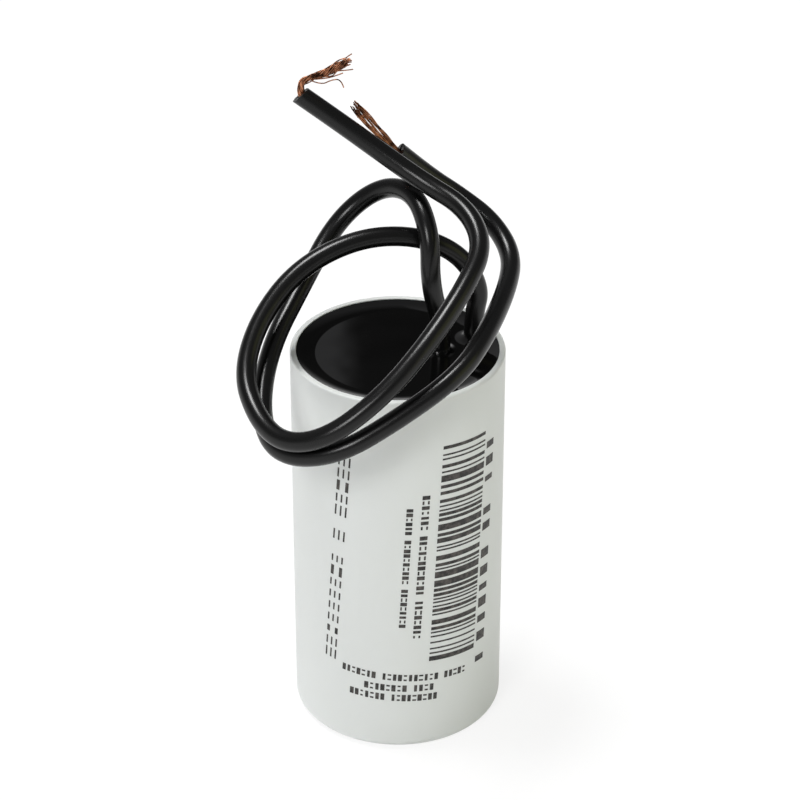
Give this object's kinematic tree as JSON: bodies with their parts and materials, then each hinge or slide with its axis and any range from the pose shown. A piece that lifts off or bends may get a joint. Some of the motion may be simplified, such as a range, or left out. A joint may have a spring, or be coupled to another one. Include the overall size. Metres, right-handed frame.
{
  "type": "motor run capacitor",
  "caption": "Small single-phase motor run capacitor: a round white plastic can cast full of black resin, with two black flying leads that end in bare copper strands.",
  "frame": {"origin": "centre of the underside of the can, on the plane that it stands on", "axes": "+Z along the can's axis, from its closed bottom to its resin-filled top; -Y towards the side that the picture shows"},
  "size_m": [0.0452, 0.049, 0.1153],
  "materials": {
    "can_plastic": "satin",
    "casting_resin": "glossy",
    "lead_insulation": "satin",
    "copper": "dull",
    "metallised_film": "glossy",
    "clear_film": "glossy",
    "sprayed_zinc": "matte",
    "solder": "satin",
    "core_plastic": "satin"
  },
  "bodies": {
    "root": {"case": "can_plastic", "potting_resin": "casting_resin", "lead_1": "lead_insulation", "lead_2": "lead_insulation", "lead_1_strands": "copper", "lead_2_strands": "copper", "film_winding": "metallised_film", "winding_core": "core_plastic", "outer_wrap": "clear_film", "end_spray_top": "sprayed_zinc", "end_spray_bottom": "sprayed_zinc", "lead_1_root": "lead_insulation", "lead_2_root": "lead_insulation", "lead_1_tail": "copper", "lead_2_tail": "copper", "lead_1_solder": "solder", "lead_2_solder": "solder"}
  },
  "joints": []
}
